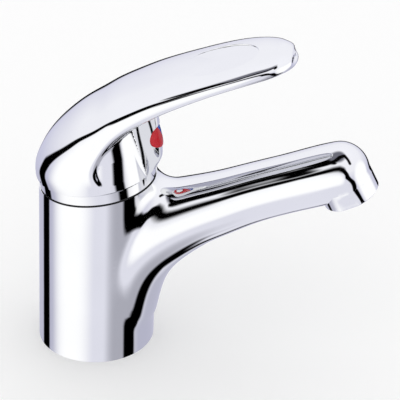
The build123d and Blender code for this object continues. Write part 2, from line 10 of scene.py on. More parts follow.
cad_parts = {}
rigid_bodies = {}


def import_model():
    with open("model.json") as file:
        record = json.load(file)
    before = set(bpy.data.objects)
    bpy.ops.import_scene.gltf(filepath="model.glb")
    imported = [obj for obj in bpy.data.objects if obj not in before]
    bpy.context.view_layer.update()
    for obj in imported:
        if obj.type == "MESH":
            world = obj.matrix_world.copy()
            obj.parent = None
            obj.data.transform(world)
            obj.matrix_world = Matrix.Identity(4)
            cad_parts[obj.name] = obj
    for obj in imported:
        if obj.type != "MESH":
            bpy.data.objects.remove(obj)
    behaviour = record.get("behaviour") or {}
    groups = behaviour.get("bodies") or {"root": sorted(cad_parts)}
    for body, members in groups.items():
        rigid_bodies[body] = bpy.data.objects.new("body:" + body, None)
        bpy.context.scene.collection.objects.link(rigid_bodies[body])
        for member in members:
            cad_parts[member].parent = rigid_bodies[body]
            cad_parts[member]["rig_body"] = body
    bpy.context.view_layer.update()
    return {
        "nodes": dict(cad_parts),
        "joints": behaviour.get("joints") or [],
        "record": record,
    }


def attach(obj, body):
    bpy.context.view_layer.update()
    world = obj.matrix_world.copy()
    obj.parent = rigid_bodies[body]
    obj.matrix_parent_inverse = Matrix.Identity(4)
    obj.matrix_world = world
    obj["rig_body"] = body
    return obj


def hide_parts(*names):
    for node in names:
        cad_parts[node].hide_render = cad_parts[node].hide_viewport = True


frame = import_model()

nodes = frame["nodes"]
slots = {part["node"]: part["material_slot"] for part in frame["record"]["subparts"]}

# ---------------------------------------------------------------- materials

def new_material(name):
    """A material with only its output and an empty Principled shader."""
    material = bpy.data.materials.new(name)
    material.use_nodes = True
    tree = material.node_tree
    return material, tree, tree.nodes["Principled BSDF"]


def add(tree, kind, **values):
    """A node with its properties and sockets set by name."""
    node = tree.nodes.new(kind)
    for name, value in values.items():
        if name in node.inputs:
            node.inputs[name].default_value = value
        else:
            setattr(node, name, value)
    return node


def object_noise(tree, scale, detail=3.0):
    """Noise in the object's own coordinates; scale is in features a metre."""
    place = add(tree, "ShaderNodeTexCoord")
    noise = add(tree, "ShaderNodeTexNoise", Scale=scale, Detail=detail)
    tree.links.new(place.outputs["Object"], noise.inputs["Vector"])
    return noise.outputs["Fac"]


def spread(tree, source, low, high):
    """The source's 0.3 to 0.7 stretched to a range of values."""
    node = add(tree, "ShaderNodeMapRange")
    node.inputs["From Min"].default_value = 0.3
    node.inputs["From Max"].default_value = 0.7
    node.inputs["To Min"].default_value = low
    node.inputs["To Max"].default_value = high
    tree.links.new(source, node.inputs["Value"])
    return node.outputs["Result"]


def tint(tree, source, dark, light):
    """A colour that wanders between two shades with the source's 0.3 to 0.7."""
    mix = add(tree, "ShaderNodeMix", data_type="RGBA")
    mix.inputs[6].default_value = (*dark, 1)
    mix.inputs[7].default_value = (*light, 1)
    tree.links.new(spread(tree, source, 0.0, 1.0), mix.inputs[0])
    return mix.outputs[2]


def relief(tree, shader, source, depth):
    """Bumps of a depth in metres."""
    bump = add(tree, "ShaderNodeBump", Distance=depth, Strength=1.0)
    tree.links.new(source, bump.inputs["Height"])
    tree.links.new(bump.outputs[0], shader.inputs["Normal"])


def chrome():
    """Polished plating: a bright mirror with the faintest haze."""
    material, tree, shader = new_material("chrome")
    shader.inputs["Metallic"].default_value = 1
    tone = tint(tree, object_noise(tree, 45.0), (0.79, 0.795, 0.805), (0.81, 0.815, 0.825))
    tree.links.new(tone, shader.inputs["Base Color"])
    haze = spread(tree, object_noise(tree, 90.0), 0.025, 0.045)
    tree.links.new(haze, shader.inputs["Roughness"])
    return material


def moulded(name, dark, light, dull, grain, depth):
    """Moulded plastic or rubber: mottled colour, uneven gloss and a fine skin."""
    material, tree, shader = new_material(name)
    mottle, skin = object_noise(tree, 160.0), object_noise(tree, grain, 6.0)
    tree.links.new(tint(tree, mottle, dark, light), shader.inputs["Base Color"])
    tree.links.new(spread(tree, skin, dull - 0.08, dull + 0.08), shader.inputs["Roughness"])
    relief(tree, shader, skin, depth)
    return material


def turned(name, dark, light, dull, axis, pitch):
    """Machined metal with the tool's rings round an axis."""
    material, tree, shader = new_material(name)
    shader.inputs["Metallic"].default_value = 1
    place = add(tree, "ShaderNodeTexCoord")
    rings = add(tree, "ShaderNodeTexWave", wave_type="BANDS", bands_direction=axis,
                Scale=1 / pitch, Distortion=0.6, Detail=2.0)
    tree.links.new(place.outputs["Object"], rings.inputs["Vector"])
    patina = object_noise(tree, 220.0)
    tree.links.new(tint(tree, patina, dark, light), shader.inputs["Base Color"])
    gloss = spread(tree, rings.outputs["Fac"], dull - 0.06, dull + 0.06)
    tree.links.new(gloss, shader.inputs["Roughness"])
    relief(tree, shader, rings.outputs["Fac"], 0.00001)
    return material


def glossy_dome(name, dark, light):
    """Injection-moulded button cap: deep colour under a clear, wet-looking skin."""
    material = moulded(name, dark, light, 0.24, 500.0, 0.000004)
    shader = material.node_tree.nodes["Principled BSDF"]
    shader.inputs["Specular IOR Level"].default_value = 0.2
    shader.inputs["Coat Weight"].default_value = 0.25
    shader.inputs["Coat Roughness"].default_value = 0.06
    return material


# Darker and lighter shade, roughness, grains a metre and depth of the grain in metres.
MOULDED = {
    # The groove entry is painted shade, not a real material: a dark finish for the ring's recesses
    # where shadow falls.
    "groove_black": ((0.006, 0.006, 0.007), (0.014, 0.014, 0.016), 0.5, 1500.0, 0.00001),
    "black_rubber": ((0.018, 0.018, 0.019), (0.04, 0.04, 0.042), 0.62, 1800.0, 0.00003),
    "cartridge_plastic": ((0.022, 0.024, 0.026), (0.034, 0.036, 0.04), 0.45, 1200.0, 0.00002),
    "slide_plastic": ((0.7, 0.7, 0.66), (0.79, 0.79, 0.76), 0.36, 700.0, 0.00001),
    "aerator_plastic": ((0.6, 0.61, 0.63), (0.7, 0.71, 0.73), 0.4, 900.0, 0.00001),
    "index_plastic": ((0.24, 0.25, 0.27), (0.31, 0.32, 0.34), 0.42, 900.0, 0.00001),
    "ceramic": ((0.8, 0.78, 0.72), (0.88, 0.86, 0.81), 0.2, 2600.0, 0.000003),
}
# Darker and lighter shade, roughness, the tool's axis and the pitch of its rings in metres.
TURNED = {
    "brass": ((0.7, 0.5, 0.22), (0.82, 0.64, 0.32), 0.26, "Z", 0.00035),
    "steel": ((0.5, 0.5, 0.51), (0.62, 0.62, 0.63), 0.3, "X", 0.0003),
}
# Darker and lighter shade.
DOMES = {
    "red_plastic": ((0.46, 0.003, 0.01), (0.6, 0.006, 0.018)),
    "blue_plastic": ((0.01, 0.06, 0.36), (0.02, 0.1, 0.46)),
}
FINISHES = {"chrome": chrome()}
for make, rows in ((moulded, MOULDED), (turned, TURNED), (glossy_dome, DOMES)):
    FINISHES.update({name: make(name, *row) for name, row in rows.items()})


def finish_of(name):
    """Material of the slot that the record gives to a node."""
    return FINISHES[slots[name]]


# ---------------------------------------------------------------- polished shells
CREASE = cos(radians(24))      # faces that turn more than this meet in an edge
LONGEST = 0.0024               # edges of a polished copy are shorter, in metres
GRAIN = 0.0009                 # spacing of the points that a wide fit looks at
FINE_FIT, WIDE_FIT = 26, 44    # neighbours of a point in the two fits
FIT_PASSES = 3
FIT_SPREAD = 1.6               # width of the weights, in middle distances to the neighbours
FIT_FACING = 0.5               # a neighbour counts if it faces the same way at least this much
FIT_RIDGE = 1e-4               # keeps a fit through too few points steady
TRUE_FIT, LOOSE_FIT = 0.00004, 0.0001    # misses where a wide fit counts in full and not at all
WELD = 1e-7                    # points nearer than this become one, in metres
MOST_DIVISIONS = 6             # halvings of the edges that are too long


def finely_divided(mesh):
    """Welded points, and triangles whose edges are all short."""
    form = bmesh.new()
    form.from_mesh(mesh)
    bmesh.ops.remove_doubles(form, verts=form.verts, dist=WELD)
    for _ in range(MOST_DIVISIONS):
        long = [edge for edge in form.edges if edge.calc_length() > LONGEST]
        if not long:
            break
        bmesh.ops.subdivide_edges(form, edges=long, cuts=1)
        bmesh.ops.triangulate(form, faces=[face for face in form.faces if len(face.verts) > 3])
    bmesh.ops.dissolve_degenerate(form, edges=form.edges, dist=WELD)
    bmesh.ops.triangulate(form, faces=[face for face in form.faces if len(face.verts) > 3])
    form.verts.index_update()
    points = np.array([vert.co for vert in form.verts])
    faces = np.array([[vert.index for vert in face.verts] for face in form.faces])
    form.free()
    return points, faces


def smooth_regions(faces, normals, count):
    """A number for each triangle: triangles that meet smoothly across an edge share it."""
    label = np.arange(len(faces))
    edges = np.sort(faces[:, [0, 1, 1, 2, 2, 0]].reshape(-1, 2), axis=1)
    key = edges[:, 0].astype(np.int64) * count + edges[:, 1]
    order = np.argsort(key, kind="stable")
    same = key[order][1:] == key[order][:-1]
    left, right = order[:-1][same] // 3, order[1:][same] // 3
    soft = np.einsum("ij,ij->i", normals[left], normals[right]) > CREASE
    left, right = left[soft], right[soft]
    while True:
        low = np.minimum(label[left], label[right])
        before = label.copy()
        np.minimum.at(label, left, low)
        np.minimum.at(label, right, low)
        label = label[label]
        if (label == before).all():
            return label


def sheet_fit(points, normals, source, wanted):
    """Normals of a curved sheet fitted through each point's neighbours, and its misses."""
    tree = KDTree(len(source))
    for number in source:
        tree.insert(points[number], number)
    tree.balance()
    near = np.array([[hit[1] for hit in tree.find_n(point, wanted)] for point in points])
    offset = points[near] - points[:, None]
    reach = np.linalg.norm(offset, axis=2)
    size = np.maximum(np.median(reach, axis=1), 1e-5)
    start = normals
    for _ in range(FIT_PASSES):
        side = np.cross(normals, np.where(abs(normals[:, :1]) < 0.7, [[1, 0, 0]], [[0, 1, 0]]))
        side /= np.linalg.norm(side, axis=1, keepdims=True)
        other = np.cross(normals, side)
        x = np.einsum("nkj,nj->nk", offset, side) / size[:, None]
        y = np.einsum("nkj,nj->nk", offset, other) / size[:, None]
        z = np.einsum("nkj,nj->nk", offset, normals) / size[:, None]
        facing = np.einsum("nkj,nj->nk", start[near], normals)
        weight = np.exp(-(reach / (FIT_SPREAD * size[:, None])) ** 2) * (facing > FIT_FACING)
        basis = np.stack((x, y, x * x, x * y, y * y), axis=2)
        square = np.einsum("nki,nk,nkj->nij", basis, weight, basis) + FIT_RIDGE * np.eye(5)
        answer = np.linalg.solve(square, np.einsum("nki,nk,nk->ni", basis, weight, z)[..., None])
        tilt_side, tilt_other = answer[:, 0], answer[:, 1]
        normals = normals - tilt_side * side - tilt_other * other
        normals /= np.linalg.norm(normals, axis=1, keepdims=True)
    miss = (z - np.einsum("nki,ni->nk", basis, answer[..., 0])) ** 2 * weight
    return normals, np.sqrt(miss.sum(axis=1) / np.maximum(weight.sum(axis=1), 1e-6)) * size


def fitted_normals(points, normals):
    """Fine fits, and wide ones where the face is large and even enough for them."""
    if len(points) < 6:
        return normals
    every = np.arange(len(points))
    fine, _ = sheet_fit(points, normals, every, min(FINE_FIT, len(points)))
    _, sparse = np.unique(np.round(points / GRAIN), axis=0, return_index=True)
    if len(sparse) < 3 * WIDE_FIT:
        return fine
    wide, miss = sheet_fit(points, normals, sparse, WIDE_FIT)
    share = np.clip((LOOSE_FIT - miss) / (LOOSE_FIT - TRUE_FIT), 0, 1)[:, None]
    blended = fine + share * (wide - fine)
    return blended / np.linalg.norm(blended, axis=1, keepdims=True)


def polished(name):
    """A copy of a CAD node whose normals follow its curved faces without facets."""
    points, faces = finely_divided(nodes[name].data)
    a, b, c = points[faces].transpose(1, 0, 2)
    normals = np.cross(b - a, c - a)
    area = np.maximum(np.linalg.norm(normals, axis=1, keepdims=True), 1e-14)
    normals = normals / area
    region = smooth_regions(faces, normals, len(points))
    corner_normals = np.repeat(normals[:, None], 3, axis=1)
    for number in np.unique(region):
        mine = region == number
        own = faces[mine]
        if len(own) < 3:
            continue
        used, local = np.unique(own, return_inverse=True)
        local = local.reshape(own.shape)
        start = np.zeros((len(used), 3))
        for corner in range(3):
            np.add.at(start, local[:, corner], normals[mine] * area[mine])
        start /= np.maximum(np.linalg.norm(start, axis=1, keepdims=True), 1e-14)
        corner_normals[mine] = fitted_normals(points[used], start)[local]
    mesh = bpy.data.meshes.new(name + "_polished")
    mesh.from_pydata(points.tolist(), [], faces.tolist())
    mesh.polygons.foreach_set("use_smooth", [True] * len(faces))
    mesh.normals_split_custom_set(corner_normals.reshape(-1, 3).tolist())
    return stands_for(new_object(mesh.name, mesh), name)


def new_object(name, mesh):
    """An object in the scene with this mesh."""
    piece = bpy.data.objects.new(name, mesh)
    bpy.context.scene.collection.objects.link(piece)
    return piece


def stands_for(piece, name):
    """The piece takes the CAD node's place and finish."""
    piece.data.materials.clear()
    piece.data.materials.append(finish_of(name))
    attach(piece, nodes[name]["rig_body"])
    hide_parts(name)
    return piece


# ---------------------------------------------------------------- handle: one smooth casting
# Millimetres in this section. The handle is the union of three forms, each given by a field that
# is negative inside: the lever, the round hub and the boss that carries the index button.
# Y is the frame's own and Z is height above the leg's top. Local places and heights are along and
# across the cartridge's leaning axis, on which the handle turns.
MM = 0.001
turning = next(joint for joint in frame["joints"] if joint["name"] == "lever_turn")
LEG_TOP = Vector(turning["pos_m"]) / MM
LEAN = atan2(turning["axis"][1], turning["axis"][2])
RIM_HIGH = 5.64             # local height of the handle's rim
RIM_RADIUS = 25.44
# Stations of the lever: Y and Z of the middle of its edge, Y and Z of its crown, half width,
# depth below the middle, fullness of the crown and of the under side.
LEVER = (
    (-1.6, 3.6, 23.65, 0.8, 25.5, 21.5, 2.0, 2.0),
    (-1.2, 7.9, 24.0, 7.3, 25.75, 19.5, 2.0, 2.0),
    (-1.0, 11.0, 22.6, 11.8, 25.8, 17.0, 2.0, 2.0),
    (-1.5, 17.1, 16.2, 22.7, 25.2, 12.0, 2.0, 2.0),
    (-4.3, 22.9, 8.0, 31.0, 23.9, 8.0, 2.05, 2.2),
    (-8.0, 28.3, -0.6, 36.9, 22.8, 6.4, 2.15, 2.4),
    (-12.9, 33.5, -7.5, 41.1, 22.0, 5.4, 2.3, 2.6),
    (-20.0, 38.8, -16.2, 45.5, 21.3, 4.8, 2.5, 2.8),
    (-28.3, 43.6, -25.6, 49.6, 20.8, 4.2, 2.8, 3.0),
    (-40.5, 49.4, -38.6, 54.3, 20.2, 3.5, 3.1, 3.2),
    (-52.0, 54.2, -50.6, 58.5, 19.5, 3.2, 3.2, 3.2),
    (-61.0, 57.5, -60.0, 61.5, 18.6, 3.2, 3.2, 3.2),
    (-69.0, 59.8, -68.3, 63.7, 16.9, 3.1, 3.2, 3.2),
    (-76.0, 61.4, -75.6, 65.15, 14.0, 3.1, 3.1, 3.0),
    (-80.0, 62.0, -79.7, 65.53, 10.6, 2.9, 2.9, 2.8),
    (-82.4, 62.0, -82.2, 64.6, 7.4, 2.3, 2.5, 2.4),
    (-83.7, 62.6, -83.65, 62.62, 0.05, 0.05, 2.0, 2.0),
)
LEAST_RUN = 0.3             # between two stations of the lever
LEAST_SLOPE = 0.2           # of the lever's field, as a share of one over its size
HUB_RADIUS, HUB_BELOW = 25.3, 2.0    # radius of the hub this far below the rim
HUB_TAPER = 2.3 / 42.0
# The hub keeps inside the lever's root at the back and under its edge at the sides: by how much,
# from which local Y on and over what run. The sides also start this high above the rim.
HUB_EASE, EASE_START, EASE_RUN = 0.9, -6.0, 12.0
HUB_WAIST, WAIST_START, WAIST_RUN = 0.8, -16.0, 14.0
WAIST_LOW, WAIST_RISE = 3.0, 10.0
# Under side of the lever's inside, where the hub ends: Y and Z.
HUB_ROOF = ((-40.0, 49.6), (-28.0, 42.6), (-12.0, 32.6), (-4.0, 26.1),
            (4.0, 19.1), (14.0, 9.6), (20.0, 1.6))
ROOF_SLOPE = 0.7            # distance from the roof as a share of the height under it
# Sections of the boss: height above the rim, half width, start of its flanks, reach of its nose.
BOSS = (
    (-2.0, 8.4, 22.9, 23.4), (0.1, 9.4, 22.2, 25.9), (2.4, 10.0, 21.9, 27.8),
    (6.0, 10.7, 21.5, 28.8), (11.4, 11.3, 21.0, 29.0), (20.0, 12.4, 20.0, 29.0),
    (31.0, 13.6, 18.5, 29.0),
)
NOSE_ROUND = 5.0
BOSS_DEPTH = 9.0            # how far the boss runs back into the hub
BOSS_ROUND = 3.2            # hollow where the boss grows out of the hub
LEVER_ROUND = 1.0           # and where the hub and boss meet the lever
LEAST_ROUND = 0.2           # share of it that is left where the two run alike
# The net: its mesh size, cells to one side, and its front, back, low and high ends.
CELL, NET_CELLS = 0.55, 48
NET_FRONT, NET_BACK, NET_LOW, NET_HIGH = -85.5, 25.5, RIM_HIGH - 4, 67.5
MOST_SETTLED = 0.4          # a point of the net moves no further than this in one step
SKIN_MISS, SKIN_FACING = 0.06, 0.8   # a corner this near the skin, and facing as it does, is cast
SHARP_TURN = radians(32)    # of the faces that are cut into the casting
CHUNK = 20000               # points that are placed along the lever at a time
# Painted shade: ring faces deeper than this get the dark groove finish.
SHADE_PAINT_DEPTH = 0.00025      # the ring is dark where it lies deeper than this, in metres


def natural_spline(knots, rows):
    """Smooth curve through rows of numbers; returns a function of the knot value."""
    knots, rows = np.asarray(knots, float), np.asarray(rows, float)
    step, count = np.diff(knots), len(knots)
    system, right = np.eye(count), np.zeros_like(rows)
    slope = np.diff(rows, axis=0) / step[:, None]
    for k in range(1, count - 1):
        system[k, k - 1:k + 2] = step[k - 1], 2 * (step[k - 1] + step[k]), step[k]
        right[k] = 6 * (slope[k] - slope[k - 1])
    bend = np.linalg.solve(system, right)

    def curve(value):
        value = np.clip(value, knots[0], knots[-1])
        k = np.clip(np.searchsorted(knots, value) - 1, 0, count - 2)
        wide = step[k][..., None]
        a, b = (knots[k + 1] - value)[..., None], (value - knots[k])[..., None]
        return ((bend[k] * a ** 3 + bend[k + 1] * b ** 3) / (6 * wide)
                + (rows[k] / wide - bend[k] * wide / 6) * a
                + (rows[k + 1] / wide - bend[k + 1] * wide / 6) * b)
    return curve


def lever_curve():
    """Stations along the lever and its whole run; squares of the sizes give a round tip."""
    rows = np.array(LEVER)
    rows[:, 2:4] -= rows[:, 0:2]
    reach = np.hypot(rows[:, 2], rows[:, 3])
    rows[:, 2], rows[:, 3] = np.unwrap(np.arctan2(rows[:, 3], rows[:, 2])), reach ** 2
    rows[:, 4:6] **= 2
    run = np.linalg.norm(np.diff(rows[:, :2], axis=0), axis=1)
    knots = np.concatenate(([0.0], np.cumsum(np.maximum(run, LEAST_RUN))))
    squares = natural_spline(knots, rows)

    def curve(value):
        row = squares(value)
        angle, reach = row[..., 2].copy(), np.sqrt(np.maximum(row[..., 3], 1e-4))
        row[..., 2], row[..., 3] = reach * np.cos(angle), reach * np.sin(angle)
        row[..., 4:6] = np.sqrt(np.maximum(row[..., 4:6], 1e-4))
        return row
    return curve, knots[-1]


LEVER_CURVE, LEVER_END = lever_curve()
LEVER_STEPS = np.linspace(0.0, LEVER_END, 420)
LEVER_TABLE = LEVER_CURVE(LEVER_STEPS)
BOSS_CURVE = natural_spline([row[0] for row in BOSS], [row[1:] for row in BOSS])


def ahead_of(row, y, z):
    """Distance of a point in front of the plane of a section."""
    up_y, up_z = row[..., 2], row[..., 3]
    return ((z - row[..., 1]) * up_y - (y - row[..., 0]) * up_z) / np.hypot(up_y, up_z)


def lever_place(y, z):
    """Where along the lever the section through a point lies."""
    table = LEVER_TABLE
    flat_y, flat_z = y.ravel(), z.ravel()
    place = np.empty(flat_y.size)
    for low in range(0, flat_y.size, CHUNK):
        part = slice(low, low + CHUNK)
        py, pz = flat_y[part, None], flat_z[part, None]
        gap = ahead_of(table[None], py, pz)
        crossed = (gap[:, :-1] > 0) & (gap[:, 1:] <= 0)
        far = np.hypot(py - table[None, :-1, 0], pz - table[None, :-1, 1])
        k = np.where(crossed, far, 1e9).argmin(axis=1)
        row = np.arange(len(k))
        first, last = gap[row, k], gap[row, k + 1]
        found = crossed[row, k]
        share = first / np.where(found, first - last, 1.0)
        inside = LEVER_STEPS[k] + share * LEVER_STEPS[1]
        place[part] = np.where(found, inside, np.where(gap[:, 0] <= 0, 0.0, LEVER_END))
    return place.reshape(y.shape)


def lever_field(x, y, z, place):
    """Distance from the superellipse section at a place along the lever."""
    row = LEVER_CURVE(place)
    up_y, up_z = row[..., 2], row[..., 3]
    reach = np.hypot(up_y, up_z)
    high = ((y - row[..., 0]) * up_y + (z - row[..., 1]) * up_z) / reach
    half = row[..., 4]
    depth = np.where(high > 0, reach, row[..., 5])
    full = np.where(high > 0, row[..., 6], row[..., 7])
    across, along = np.maximum(abs(x) / half, 1e-9), np.maximum(abs(high) / depth, 1e-9)
    power = across ** full + along ** full
    radius = power ** (1 / full)
    slope = np.hypot(across ** (full - 1) / half, along ** (full - 1) / depth)
    steep = power ** (1 / full - 1) * slope
    return (radius - 1) / np.maximum(steep, LEAST_SLOPE / np.maximum(half, depth))


def leaning(y, z):
    """Y and Z of a point in the leaning frame of the leg's top."""
    return y * cos(LEAN) - z * sin(LEAN), y * sin(LEAN) + z * cos(LEAN)


def rising(value, start, run):
    """0 up to the start and 1 from the end of the run."""
    return np.clip((value - start) / run, 0, 1)


def hub_field(x, y, z):
    """Distance from the tapering hub under the lever's roof."""
    local_y, local_z = leaning(y - LEG_TOP.y, z)
    side = np.hypot(x, local_y) - HUB_RADIUS + HUB_TAPER * (local_z - RIM_HIGH + HUB_BELOW)
    side = side + HUB_EASE * rising(local_y, EASE_START, EASE_RUN)
    waist = HUB_WAIST * rising(local_y, WAIST_START, WAIST_RUN)
    side = side + waist * rising(local_z - RIM_HIGH, WAIST_LOW, WAIST_RISE)
    roof = np.interp(y, *zip(*HUB_ROOF))
    return np.maximum(side, ROOF_SLOPE * (z - roof))


def nose_at(height):
    """The boss at a height: half width, start of its flanks, centre of its nose, their point."""
    half, start, nose = np.moveaxis(BOSS_CURVE(height), -1, 0)
    centre = nose - NOSE_ROUND
    a = half ** 2 - NOSE_ROUND ** 2
    b = half ** 2 * centre - NOSE_ROUND ** 2 * start
    c = (half * centre) ** 2 - (NOSE_ROUND * start) ** 2 - (NOSE_ROUND * half) ** 2
    return half, start, centre, (b + np.sqrt(b * b - a * c)) / a


def boss_field(x, y, z):
    """Distance from the boss: two flanks that meet a round nose."""
    local_y, local_z = leaning(y - LEG_TOP.y, z)
    height = local_z - RIM_HIGH
    half, start, centre, point = nose_at(height)
    flank = np.hypot(half, point - start)
    ahead, wide = -local_y, abs(x)
    side = (wide * (point - start) + (ahead - point) * half) / flank
    toward_tip = (-wide * half + (ahead - centre) * (point - start)) / flank
    tip = np.hypot(wide, ahead - centre) - NOSE_ROUND
    form = np.where(toward_tip > 0, tip, side)
    behind = start - BOSS_DEPTH - ahead
    return np.maximum(np.maximum(form, wide - half), np.maximum(behind, height - BOSS[-1][0]))


def nose_reach(wide, height):
    """How far forward the boss reaches at a distance from its middle plane."""
    half, start, centre, point = nose_at(height)
    touch = NOSE_ROUND * (point - start) / np.hypot(half, point - start)
    round_part = centre + np.sqrt(np.maximum(NOSE_ROUND ** 2 - wide ** 2, 0))
    return np.where(wide < touch, round_part, point - wide * (point - start) / half)


def joined(first, second, round_off):
    """Union of two fields with a hollow fillet where they meet."""
    share = np.maximum(round_off - abs(first - second), 0) / np.maximum(round_off, 1e-6)
    return np.minimum(first, second) - share ** 2 * round_off / 4


def handle_field(x, y, z, place, nudge=0.05):
    """Union of the lever, hub and boss; the fillets fade where two surfaces run alike."""
    lever = lever_field(x, y, z, place)
    lower = joined(hub_field(x, y, z), boss_field(x, y, z), BOSS_ROUND)
    slopes = []
    for dx, dy, dz in np.eye(3) * nudge:
        moved = x + dx, y + dy, z + dz
        slopes.append((lever_field(*moved, place) - lever,
                       joined(hub_field(*moved), boss_field(*moved), BOSS_ROUND) - lower))
    dots = sum(a * b for a, b in slopes)
    sizes = np.sqrt(sum(a * a for a, _ in slopes) * sum(b * b for _, b in slopes))
    turn = np.clip(1 - dots / np.maximum(sizes, 1e-9), LEAST_ROUND, 1)
    return joined(lever, lower, 2 * LEVER_ROUND * turn)


def surface_net(field, origin, cell):
    """Points and quads of the surface where a sampled field is zero."""
    inside = field < 0
    cells = tuple(n - 1 for n in field.shape)
    steps = np.meshgrid(*(np.arange(n) for n in cells), indexing="ij")
    grid = np.stack(steps, axis=-1).astype(np.float32)
    total = np.zeros(grid.shape, np.float32)
    crossings = np.zeros(cells, np.float32)
    for axis in range(3):
        for first in (0, 1):
            for second in (0, 1):
                corner = [0, 0, 0]
                corner[(axis + 1) % 3], corner[(axis + 2) % 3] = first, second
                near = tuple(slice(c, c + n) for c, n in zip(corner, cells))
                corner[axis] = 1
                far = tuple(slice(c, c + n) for c, n in zip(corner, cells))
                cut = inside[near] != inside[far]
                gap = np.where(cut, field[near] - field[far], 1)
                share = np.where(cut, field[near] / gap, 0)
                corner[axis] = 0
                for k in range(3):
                    total[..., k] += np.where(cut, share if k == axis else corner[k], 0)
                crossings += cut
    used = crossings > 0
    number = np.full(cells, -1)
    number[used] = np.arange(used.sum())
    points = (grid[used] + total[used] / crossings[used][:, None]) * cell + origin
    quads = []
    for axis in range(3):
        u, v = (axis + 1) % 3, (axis + 2) % 3
        near, far = [slice(None)] * 3, [slice(None)] * 3
        near[axis], far[axis] = slice(0, -1), slice(1, None)
        cut = inside[tuple(near)] != inside[tuple(far)]
        at = np.argwhere(cut)
        at = at[(at[:, u] > 0) & (at[:, v] > 0)]
        at = at[(at[:, u] < cells[u]) & (at[:, v] < cells[v])]
        outward = inside[tuple(at.T)]
        loop = []
        for du, dv in ((1, 1), (0, 1), (0, 0), (1, 0)):
            step = at.copy()
            step[:, u] -= du
            step[:, v] -= dv
            loop.append(number[tuple(step.T)])
        loop = np.stack(loop, axis=1)
        loop[~outward] = loop[~outward][:, ::-1]
        quads.append(loop)
    return points, np.concatenate(quads)


def lever_place_near(place, y, z, nudge=0.001, least=0.05):
    """The place of a point that has moved a little from where it was."""
    gap = ahead_of(LEVER_CURVE(place), y, z)
    change = (ahead_of(LEVER_CURVE(place + nudge), y, z) - gap) / nudge
    safe = np.where(abs(change) > least, change, 1.0)
    step = np.where(abs(change) > least, gap / safe, 0.0)
    return np.clip(place - np.clip(step, -1.0, 1.0), 0.0, LEVER_END)


def handle_value(points, place):
    """Value of the field at points that lie near places along the lever."""
    x, y, z = points.T
    return handle_field(x, y, z, lever_place_near(place, y, z))


def handle_slope(points, place, nudge=0.02):
    """Value of the field at each point and its slope along the three axes."""
    value = handle_value(points, place)
    moved = [handle_value(points + step, place) for step in np.eye(3) * nudge]
    return value, (np.stack(moved, axis=1) - value[:, None]) / nudge


def settled_on_surface(points):
    """Points moved onto the zero surface of the handle."""
    for _ in range(2):
        place = lever_place(points[:, 1], points[:, 2])
        value, slope = handle_slope(points, place)
        step = value / np.maximum((slope ** 2).sum(axis=1), 0.05)
        points = points - slope * np.clip(step, -MOST_SETTLED, MOST_SETTLED)[:, None]
    return points


def handle_net():
    """Points and quads of the whole skin; the field is sampled on one side and mirrored."""
    x = (np.arange(NET_CELLS) + 0.5) * CELL
    y, z = np.arange(NET_FRONT, NET_BACK, CELL), np.arange(NET_LOW, NET_HIGH, CELL)
    wide_y, wide_z = np.meshgrid(y, z, indexing="ij")
    place = lever_place(wide_y, wide_z)
    half = np.stack([handle_field(across, wide_y, wide_z, place) for across in x])
    origin = np.array([-x[-1], y[0], z[0]])
    points, quads = surface_net(np.concatenate([half[::-1], half]), origin, CELL)
    return settled_on_surface(points), quads


def leaning_frame(at=(0.0, 0.0, 0.0), turn=Matrix.Identity(4)):
    """Placement of something drawn in the leaning frame, in metres."""
    base = Matrix.Translation(LEG_TOP * MM) @ Matrix.Rotation(-LEAN, 4, "X")
    return base @ Matrix.Translation(Vector(at) * MM) @ turn


def lathe(name, outline, placement, turns=96):
    """Closed form of revolution about local Z from radius and height pairs, axis to axis."""
    form = bmesh.new()
    ring = [form.verts.new((radius * MM, 0, height * MM)) for radius, height in outline]
    edges = [form.edges.new(pair) for pair in zip(ring, ring[1:])]
    bmesh.ops.spin(form, geom=ring + edges, cent=(0, 0, 0), axis=(0, 0, 1),
                   angle=radians(360), steps=turns, use_merge=True)
    bmesh.ops.remove_doubles(form, verts=form.verts, dist=WELD)
    bmesh.ops.recalc_face_normals(form, faces=form.faces)
    mesh = bpy.data.meshes.new(name)
    form.to_mesh(mesh)
    form.free()
    mesh.transform(placement)
    return new_object(name, mesh)


def cut(piece, cutter):
    """Takes the cutter's volume out of the piece and drops the cutter."""
    knife = piece.modifiers.new("cut", "BOOLEAN")
    knife.operation, knife.solver, knife.object = "DIFFERENCE", "EXACT", cutter
    graph = bpy.context.evaluated_depsgraph_get()
    mesh = bpy.data.meshes.new_from_object(piece.evaluated_get(graph))
    piece.modifiers.clear()
    piece.data = mesh
    bpy.data.objects.remove(cutter)


RIM_WALL = 0.7
# Inside of the rim: how far in from it and how high above it, up to the socket for the stem.
HOLLOW = ((0.6, 1.8), (1.4, 3.9), (2.5, 6.1), (4.0, 8.4), (6.9, 12.4), (11.3, 16.8))
SOCKET_RADIUS, HOLLOW_HIGH = 8.0, 18.4
CUT_BELOW = 6.0              # how far the hollow's cutter starts below the rim
# The index button follows the nose: local height of its middle, its size and its seat.
INDEX_HIGH, INDEX_HALF_WIDTH, INDEX_HALF_HEIGHT = 19.4, 6.4, 5.2
INDEX_THICK, INDEX_PROUD, INDEX_SUNK, INDEX_GAP = 0.9, 0.35, 0.12, 0.12
SEAT_BEHIND, SEAT_AHEAD = 0.04, 2.5
INDEX_RINGS, SPOKE_TURN = 14, 6      # rings of the lens, and degrees between its spokes
LENS_WELD = 1e-6             # joins the points at its centre and seam, in metres
SEAM = radians(21)           # the seam between red and blue leans by this angle
# The thumb rest: an oval with a flat floor, turned to the slope of the lever, and a rolled lip.
PAD_PLACE, PAD_SLOPE = Vector((0, -52.1, 59.0)), radians(17.1)
PAD_HALF_LENGTH, PAD_HALF_WIDTH, PAD_DEPTH = 16.8, 11.3, 0.55
PAD_FLAT = 0.98              # share of the oval that is drawn as its floor
PAD_LIP, PAD_LIP_TURN = 0.05, radians(80)
PAD_CLEAR = 5.0              # height of the cutter


